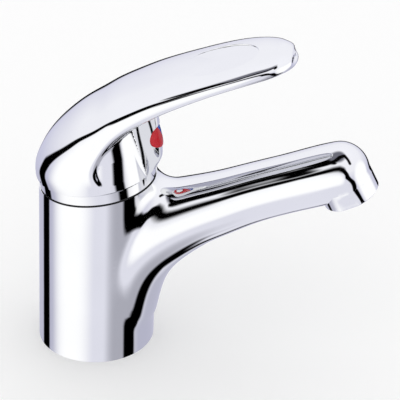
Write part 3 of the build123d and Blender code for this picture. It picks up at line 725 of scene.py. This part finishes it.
def handle_cutters():
    """What is cut out of the casting: its hollow, the button's seat and the thumb rest."""
    inside, low = RIM_RADIUS - RIM_WALL, RIM_HIGH - CUT_BELOW
    outline = [(0.0, low), (inside, low), (inside, RIM_HIGH)]
    outline += [(inside - inward, RIM_HIGH + high) for inward, high in HOLLOW]
    outline += [(SOCKET_RADIUS, RIM_HIGH + HOLLOW_HIGH), (0.0, RIM_HIGH + HOLLOW_HIGH)]
    yield lathe("hollow", outline, leaning_frame())
    seat = index_lens("index_seat", 0.0, 360, INDEX_GAP,
                      lambda radius: np.full_like(radius, SEAT_AHEAD), INDEX_THICK + SEAT_BEHIND)
    yield new_object("index_seat", seat)
    up = Vector((0, sin(PAD_SLOPE), cos(PAD_SLOPE)))
    floor = PAD_PLACE + Vector((0, 0, LEG_TOP.z)) - up * PAD_DEPTH
    oval = Matrix.Diagonal((PAD_HALF_WIDTH, PAD_HALF_LENGTH, 1.0, 1.0))
    placement = Matrix.Translation(floor * MM) @ Matrix.Rotation(-PAD_SLOPE, 4, "X") @ oval
    rolled = [(1.0 + PAD_LIP * (1 - cos(t)), PAD_DEPTH * sin(t))
              for t in np.linspace(0, PAD_LIP_TURN, 7)]
    outline = [(0.0, 0.0), (PAD_FLAT, 0.0), *rolled]
    outline += [(rolled[-1][0], PAD_CLEAR), (0.0, PAD_CLEAR)]
    yield lathe("pad", outline, placement, 160)


def index_lens(name, start, sweep, grow, proud, thick):
    """Oval lens on the nose of the boss, or a sector of it, that follows the nose.

    It starts at an angle and sweeps over whole degrees. proud gives its height above the nose from
    the share of its radius, and thick is how deep it goes.
    """
    spokes = sweep // SPOKE_TURN + 1
    radius, angle = np.meshgrid(np.sin(np.linspace(0, radians(90), INDEX_RINGS)),
                                start + np.linspace(0, radians(sweep), spokes), indexing="ij")
    wide = ((INDEX_HALF_WIDTH + grow) * radius * np.cos(angle)).ravel()
    high = (INDEX_HIGH + (INDEX_HALF_HEIGHT + grow) * radius * np.sin(angle)).ravel()
    skin = np.stack((abs(wide), -nose_reach(abs(wide), high - RIM_HIGH), high), axis=-1)
    skin = settled_on_surface(settled_on_surface(skin))
    outward = handle_slope(skin, lever_place(skin[:, 1], skin[:, 2]))[1]
    outward /= np.linalg.norm(outward, axis=1)[:, None]
    outward *= np.where(outward[:, 1:2] > 0, -1, 1)
    side = np.where(wide < 0, -1, 1)
    skin[:, 0] *= side
    outward[:, 0] *= side
    front, back = skin + outward * proud(radius).reshape(-1, 1), skin - outward * thick
    count = radius.size
    number = np.arange(count).reshape(radius.shape)
    rim = number[-1]
    if sweep < 360:
        rim = np.concatenate((number[:, 0], rim[1:], number[-2::-1, -1]))
    a, b, c, d = number[:-1, :-1], number[1:, :-1], number[1:, 1:], number[:-1, 1:]
    faces = np.stack((a, b, c, d), axis=-1).reshape(-1, 4)
    walls = np.stack((rim[:-1], rim[1:], rim[1:] + count, rim[:-1] + count), axis=-1)
    mesh = bpy.data.meshes.new(name)
    mesh.from_pydata((np.concatenate((front, back)) * MM).tolist(), [],
                     np.concatenate((faces, faces[:, ::-1] + count, walls)).tolist())
    form = bmesh.new()
    form.from_mesh(mesh)
    bmesh.ops.remove_doubles(form, verts=form.verts, dist=LENS_WELD)
    bmesh.ops.dissolve_degenerate(form, edges=form.edges, dist=LENS_WELD)
    bmesh.ops.recalc_face_normals(form, faces=form.faces)
    form.to_mesh(mesh)
    form.free()
    mesh.transform(leaning_frame())
    return mesh


def index_dome(radius):
    """Height of the button above the nose: an even crown with a sunk rim."""
    return INDEX_PROUD * (1 - radius ** 4) - INDEX_SUNK * radius ** 12


def index_half(name, start):
    """Half of the button's dome."""
    mesh = index_lens(name + "_dome", SEAM + start, 180, 0.0, index_dome, INDEX_THICK)
    mesh.polygons.foreach_set("use_smooth", [True] * len(mesh.polygons))
    mesh.set_sharp_from_angle(angle=radians(35))
    return stands_for(new_object(mesh.name, mesh), name)


def corner_normals(mesh):
    """The field's own normals on the cast skin, and flat ones on everything cut into it."""
    points = np.empty(len(mesh.vertices) * 3, np.float32)
    mesh.vertices.foreach_get("co", points)
    points = points.reshape(-1, 3).astype(float) / MM - np.array([0.0, 0.0, LEG_TOP.z])
    value, slope = handle_slope(points, lever_place(points[:, 1], points[:, 2]))
    skin = slope / np.maximum(np.linalg.norm(slope, axis=1, keepdims=True), 1e-9)
    corners = np.empty(len(mesh.loops), np.int32)
    mesh.loops.foreach_get("vertex_index", corners)
    mesh.set_sharp_from_angle(angle=SHARP_TURN)
    flat = np.array([normal.vector for normal in mesh.corner_normals])
    facing = np.einsum("ij,ij->i", skin[corners], flat)
    cast = (abs(value[corners]) < SKIN_MISS) & (facing > SKIN_FACING)
    return np.where(cast[:, None], skin[corners], flat)


def make_handle():
    """The casting: the net cut off at the rim, closed, hollowed and given its normals."""
    points, quads = handle_net()
    form = bmesh.new()
    added = [form.verts.new(point) for point in (points + [0.0, 0.0, LEG_TOP.z]) * MM]
    for quad in quads.tolist():
        form.faces.new([added[k] for k in quad])
    rim = leaning_frame((0, 0, RIM_HIGH))
    bmesh.ops.bisect_plane(form, geom=form.verts[:] + form.edges[:] + form.faces[:], dist=WELD,
                           plane_co=rim.translation, plane_no=rim.col[2].to_3d(), clear_inner=True)
    bmesh.ops.holes_fill(form, edges=[edge for edge in form.edges if edge.is_boundary])
    mesh = bpy.data.meshes.new("handle_shell")
    form.to_mesh(mesh)
    form.free()
    piece = new_object("handle_shell", mesh)
    for cutter in handle_cutters():
        cut(piece, cutter)
    mesh = piece.data
    mesh.polygons.foreach_set("use_smooth", [True] * len(mesh.polygons))
    mesh.normals_split_custom_set(corner_normals(mesh).tolist())
    return piece


def paint_shade_on_groove(ring):
    """Only the ring's outer face is chrome: its shadow gap, top and bore get a dark finish that is
    painted shade.
    """
    ring.data.materials.append(FINISHES["groove_black"])
    outer = max(point.co.x for point in ring.data.vertices)
    upright = leaning_frame().inverted()
    for face in ring.data.polygons:
        middle = upright @ face.center
        if outer - hypot(middle.x, middle.y) > SHADE_PAINT_DEPTH:
            face.material_index = 1


for name, node in nodes.items():
    node.data.materials.clear()
    node.data.materials.append(finish_of(name))
for shell in ("body", "aerator_housing"):
    polished(shell)
paint_shade_on_groove(polished("cap_ring"))
stands_for(make_handle(), "handle")
index_half("index_red", radians(90))
index_half("index_blue", radians(-90))

# ---------------------------------------------------------------- floor, light, camera
PAPER = (0.985, 0.985, 0.985)
FLOOR_HALF = 1.5
# The camera that fits the photograph; the angles are where it stands, and its roll.
VIEW_AZIMUTH, VIEW_ELEVATION, VIEW_ROLL = radians(-84.01), radians(31.93), radians(0.56)
VIEW_TARGET, VIEW_DISTANCE = Vector((0, -0.04514, 0.07003)), 0.90137
LENS, SENSOR = 192.97, 36.0


def make_floor():
    """Pale paper that mirrors don't show, because they show the studio instead."""
    half = FLOOR_HALF
    mesh = bpy.data.meshes.new("floor")
    corners = [(-half, -half, 0), (half, -half, 0), (half, half, 0), (-half, half, 0)]
    mesh.from_pydata(corners, [], [(0, 1, 2, 3)])
    floor = new_object("floor", mesh)
    material, _, shader = new_material("floor_paper")
    shader.inputs["Base Color"].default_value = (*PAPER, 1)
    shader.inputs["Roughness"].default_value = 0.9
    mesh.materials.append(material)
    floor.visible_glossy = False


# The studio that polished metal shows. Angles are in degrees, azimuth from +X towards +Y.
# Black cards: each is a ribbon through points of azimuth, elevation, half width and soft edge.
CARDS = {
    "left_flag": (
        (67, -46, 8, 4), (67, -26, 8, 4), (69, -14, 7, 3.5), (75, -5, 5, 3), (82, 5, 4, 3),
        (89, 15, 3.5, 2.5), (98, 25, 3, 2.5), (107, 32, 4, 2.5), (119, 38, 8, 4), (127, 38, 8, 4),
        (139, 35, 4, 6)),
    "roof_flag": (
        (124, 42, 5, 4), (133, 52, 4, 5), (143, 66, 4, 5), (150, 82, 5, 5), (-80, 79, 4, 5),
        (-112, 62, 3, 5), (-120, 48, 3, 5)),
    "roof_seam": ((87, 58, 1.5, 4), (98, 57, 4, 4), (120, 56, 4, 5), (150, 56, 2, 6)),
    "front_flag": (
        (153, 29, 4, 5), (164, 35, 3, 13), (178, 37, 4, 14), (-168, 33, 5, 12), (-158, 23, 6, 4),
        (-152, 13, 6, 4), (-150, 3, 7, 4), (-140, -8, 5, 4), (-129, -17, 5, 4),
        (-121, -25, 4, 4), (-112, -32, 4, 4), (-103, -38, 7, 3), (-97, -45, 7.5, 3),
        (-100, -53, 9, 6), (-92, -65, 6, 8), (-76, -68, 2, 6), (-60, -68, 1.2, 4),
        (-30, -66, 1, 3), (-8, -58, 0.6, 2)),
    "back_flag": ((-33, -18, 3, 3), (-18, -17, 6, 5), (-4, -17, 9, 6), (12, -16, 9, 6)),
}
CARD_BLACK = (0.0, 0.0, 0.0)
# Round soft lights and shades: direction, full and outer angle, brightness as it shows.
SOFT_LIGHTS = (
    ((-160, -50), 35, 60, 0.865), ((-120, -42), 12, 32, 0.66), ((110, 80), 16, 30, 0.42),
    ((176, -6), 12, 28, 1.0), ((134, -8), 26, 52, 1.0), ((-90, -1), 22, 38, 1.0),
)
BLUER = 0.04                # how much bluer than grey the soft lights show
# The room from straight down to straight up: share of the way, grey and blue as they show.
ROOM = ((0.0, 0.88, 0.92), (0.04, 0.85, 0.89), (0.09, 0.70, 0.76), (0.2, 0.70, 0.77),
        (0.35, 0.76, 0.84), (0.5, 0.84, 0.89), (0.7, 0.93, 0.95), (1.0, 0.95, 0.97))
REFLECTED = 1.25            # strength of what metal shows, and of the plain white light
PLAIN = 1.0


def display(value):
    """Scene value that shows as this share of white."""
    return ((value + 0.055) / 1.055) ** 2.4


def toward(azimuth, elevation):
    """Unit vector in a direction given in degrees."""
    a, e = radians(azimuth), radians(elevation)
    return Vector((cos(a) * cos(e), sin(a) * cos(e), sin(e)))


def maths(tree, operation, *sources, clamp=False):
    """A Math node on numbers or sockets."""
    node = add(tree, "ShaderNodeMath", operation=operation, use_clamp=clamp)
    for socket, source in zip(node.inputs, sources):
        if isinstance(source, (int, float)):
            socket.default_value = source
        else:
            tree.links.new(source, socket)
    return node.outputs[0]


def vectors(tree, operation, *sources, result=0):
    """A Vector Math node on vectors or sockets."""
    node = add(tree, "ShaderNodeVectorMath", operation=operation)
    for socket, source in zip(node.inputs, sources):
        if isinstance(source, bpy.types.NodeSocket):
            tree.links.new(source, socket)
        else:
            socket.default_value = source
    return node.outputs[result]


def scaled(tree, vector, factor):
    """A fixed vector times a socket."""
    node = add(tree, "ShaderNodeVectorMath", operation="SCALE")
    node.inputs[0].default_value = vector
    tree.links.new(factor, node.inputs["Scale"])
    return node.outputs[0]


def card_light(tree, direction, start, end):
    """0 on the stretch of a card between two points, 1 beyond its soft edge."""
    a, b = toward(*start[:2]), toward(*end[:2])
    core_a, core_b = radians(start[2]), radians(end[2])
    fade_a, fade_b = radians(start[3]), radians(end[3])
    run = b - a
    offset = vectors(tree, "SUBTRACT", direction, a)
    share = vectors(tree, "DOT_PRODUCT", offset, run / run.length_squared, result=1)
    share = maths(tree, "ADD", share, 0.0, clamp=True)
    apart = vectors(tree, "SUBTRACT", offset, scaled(tree, run, share))
    distance = vectors(tree, "LENGTH", apart, result=1)
    core = maths(tree, "MULTIPLY_ADD", share, core_b - core_a, core_a)
    fade = maths(tree, "MULTIPLY_ADD", share, fade_b - fade_a, fade_a)
    return maths(tree, "DIVIDE", maths(tree, "SUBTRACT", distance, core), fade)


def soft_spot(tree, direction, centre, inner, outer):
    """1 within the inner angle of a direction, 0 beyond the outer angle."""
    facing = vectors(tree, "DOT_PRODUCT", direction, toward(*centre), result=1)
    node = add(tree, "ShaderNodeMapRange", interpolation_type="SMOOTHSTEP")
    node.inputs["From Min"].default_value = cos(radians(outer))
    node.inputs["From Max"].default_value = cos(radians(inner))
    tree.links.new(facing, node.inputs["Value"])
    return node.outputs["Result"]


def blend_to(tree, colour, other, factor):
    """From one colour to another as the factor goes from 0 to 1."""
    node = add(tree, "ShaderNodeMix", data_type="RGBA")
    for socket, source in zip((node.inputs[6], node.inputs[7]), (colour, other)):
        if isinstance(source, tuple):
            socket.default_value = (*source, 1)
        else:
            tree.links.new(source, socket)
    tree.links.new(factor, node.inputs[0])
    return node.outputs[2]


def studio_surround(tree, direction):
    """Pale lavender room, lighter above, with soft white boxes."""
    height = add(tree, "ShaderNodeSeparateXYZ")
    tree.links.new(direction, height.inputs[0])
    level = maths(tree, "MULTIPLY_ADD", height.outputs["Z"], 0.5, 0.5)
    ramp = add(tree, "ShaderNodeValToRGB")
    elements = ramp.color_ramp.elements
    while len(elements) < len(ROOM):
        elements.new(0.5)
    for element, (place, grey, blue) in zip(elements, ROOM):
        element.position = place
        element.color = (display(grey), display(grey), display(blue), 1)
    tree.links.new(level, ramp.inputs[0])
    colour = ramp.outputs[0]
    for centre, inner, outer, shown in SOFT_LIGHTS:
        tone = (display(shown), display(shown), display(min(1.0, shown + BLUER)))
        colour = blend_to(tree, colour, tone, soft_spot(tree, direction, centre, inner, outer))
    return colour


def make_world():
    """Even white light, with the studio's cards only in reflections."""
    world = bpy.data.worlds.new("studio")
    bpy.context.scene.world = world
    world.use_nodes = True
    tree = world.node_tree
    tree.nodes.clear()
    direction = add(tree, "ShaderNodeTexCoord").outputs["Generated"]
    light = None
    for card in CARDS.values():
        for start, end in zip(card, card[1:]):
            piece = card_light(tree, direction, start, end)
            light = piece if light is None else maths(tree, "MINIMUM", light, piece)
    smooth = add(tree, "ShaderNodeMapRange", interpolation_type="SMOOTHSTEP")
    tree.links.new(light, smooth.inputs["Value"])
    surround = studio_surround(tree, direction)
    room = blend_to(tree, CARD_BLACK, surround, smooth.outputs["Result"])
    reflected = add(tree, "ShaderNodeBackground", Strength=REFLECTED)
    tree.links.new(room, reflected.inputs["Color"])
    plain = add(tree, "ShaderNodeBackground", Color=(1, 1, 1, 1), Strength=PLAIN)
    path = add(tree, "ShaderNodeLightPath")
    mix = add(tree, "ShaderNodeMixShader")
    tree.links.new(path.outputs["Is Glossy Ray"], mix.inputs[0])
    tree.links.new(plain.outputs[0], mix.inputs[1])
    tree.links.new(reflected.outputs[0], mix.inputs[2])
    output = add(tree, "ShaderNodeOutputWorld")
    tree.links.new(mix.outputs[0], output.inputs["Surface"])


def make_camera():
    """The camera, turned to its target and rolled."""
    back = Vector((sin(VIEW_AZIMUTH) * cos(VIEW_ELEVATION),
                   -cos(VIEW_AZIMUTH) * cos(VIEW_ELEVATION), sin(VIEW_ELEVATION)))
    right = Vector((0, 0, 1)).cross(back).normalized()
    up = back.cross(right)
    across = right * cos(VIEW_ROLL) + up * sin(VIEW_ROLL)
    upright = up * cos(VIEW_ROLL) - right * sin(VIEW_ROLL)
    data = bpy.data.cameras.new("camera")
    data.lens, data.sensor_width = LENS, SENSOR
    camera = bpy.data.objects.new("camera", data)
    turn = Matrix((across, upright, back)).transposed().to_4x4()
    camera.matrix_world = Matrix.Translation(VIEW_TARGET + back * VIEW_DISTANCE) @ turn
    bpy.context.scene.collection.objects.link(camera)
    bpy.context.scene.camera = camera


make_floor()
make_world()
make_camera()
bpy.context.scene.view_settings.view_transform = "Standard"
